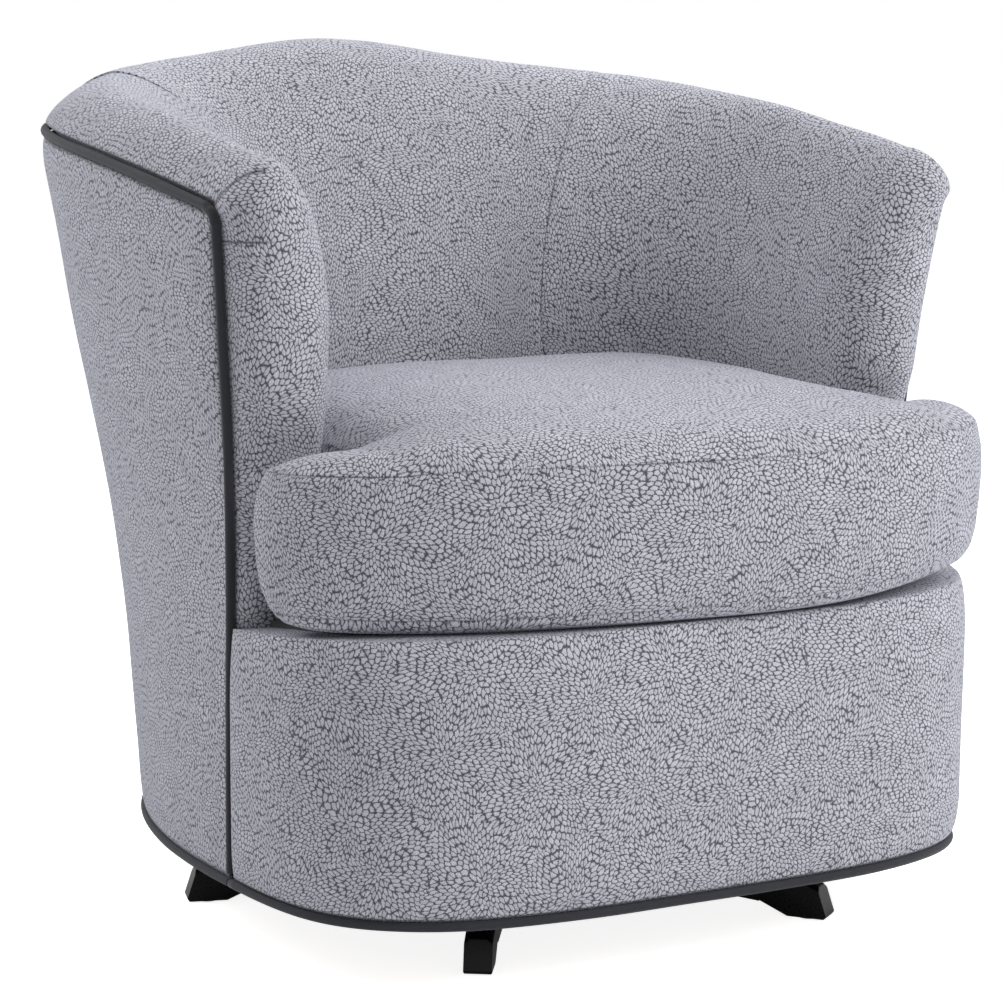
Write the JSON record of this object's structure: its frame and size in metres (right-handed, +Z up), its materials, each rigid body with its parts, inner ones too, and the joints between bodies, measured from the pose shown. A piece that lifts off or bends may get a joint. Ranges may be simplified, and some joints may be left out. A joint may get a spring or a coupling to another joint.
{
  "type": "swivel rocker",
  "caption": "Barrel-back upholstered armchair with a loose T-shaped seat cushion that swivels and rocks on a low metal base with radiating prongs.",
  "frame": {"origin": "centre of the overall box in plan, on the floor", "axes": "+Z up, the front of the chair faces -Y, +X to the sitter's left"},
  "size_m": [0.7786, 0.8513, 0.803],
  "materials": {
    "petal_fabric": "woven upholstery, matte",
    "contrast_fabric": "woven, matte",
    "deck_cloth": "plain cloth, matte",
    "black_metal": "satin black",
    "bracket_steel": "semi-gloss dark grey",
    "zinc_steel": "zinc plated",
    "spring_steel": "oiled",
    "brass_cage": "pressed sheet",
    "glide_nylon": "moulded",
    "bumper_rubber": "matte",
    "hardwood": "sawn, unfinished"
  },
  "bodies": {
    "base": {"base_hub": "black_metal", "prong_1": "black_metal", "prong_2": "black_metal", "prong_3": "black_metal", "prong_4": "black_metal", "prong_5": "black_metal", "toe_cap_1": "black_metal", "toe_cap_2": "black_metal", "toe_cap_3": "black_metal", "toe_cap_4": "black_metal", "toe_cap_5": "black_metal", "toe_glides": "glide_nylon", "lower_race": "zinc_steel", "race_bolts": "zinc_steel", "centre_bolt": "zinc_steel", "centre_nut": "zinc_steel"},
    "ball_ring": {"ball_cage": "brass_cage", "bearing_balls": "zinc_steel"},
    "turntable": {"upper_race": "zinc_steel", "rocker_lower_bracket": "bracket_steel", "bracket_screws": "zinc_steel", "pivot_bushes": "glide_nylon", "rocker_springs": "spring_steel", "rear_bumper": "bumper_rubber", "front_bumper": "bumper_rubber"},
    "chair": {"pivot_shaft": "zinc_steel", "shaft_collars": "zinc_steel", "rocker_upper_bracket": "bracket_steel", "mounting_slats": "hardwood", "slat_bolts": "zinc_steel", "slat_cleats": "hardwood", "bottom_hoop": "hardwood", "lower_posts": "hardwood", "front_board": "hardwood", "deck_hoop": "hardwood", "rear_spring_rail": "hardwood", "seat_spring_wires": "spring_steel", "seat_spring_clips": "zinc_steel", "seat_deck": "deck_cloth", "back_ribs": "hardwood", "top_hoop": "hardwood", "dust_cover": "deck_cloth", "front_rail_pad": "petal_fabric", "outside_arm_left": "petal_fabric", "outside_arm_right": "petal_fabric", "outside_back": "petal_fabric", "inside_arm_left": "petal_fabric", "inside_arm_right": "petal_fabric", "inside_back": "petal_fabric", "arm_front_left": "petal_fabric", "arm_front_right": "petal_fabric", "arm_and_back_piping": "contrast_fabric", "bottom_welt": "contrast_fabric"},
    "cushion": {"seat_cushion": "petal_fabric"}
  },
  "joints": [
    {"name": "swivel", "type": "hinge", "parent": "base", "child": "turntable", "pos_m": [0, -0.04775, 0.064], "axis": [0, 0, 1], "continuous": true},
    {"name": "ball_ring_turn", "type": "hinge", "parent": "base", "child": "ball_ring", "pos_m": [0, -0.04775, 0.057], "axis": [0, 0, 1], "continuous": true},
    {"name": "rock", "type": "hinge", "parent": "turntable", "child": "chair", "pos_m": [0, -0.04775, 0.094], "axis": [-1, 0, 0], "range_deg": [-4.5, 8], "stiffness_Nm_per_rad": 450, "deforming": ["rocker_springs"]},
    {"name": "cushion_lift", "type": "slide", "parent": "chair", "child": "cushion", "axis": [0, -0.6, 0.8], "range_m": [0, 0.45]}
  ],
  "couplings": [
    {"joint": "ball_ring_turn", "follows": "swivel", "ratio": 0.5}
  ]
}
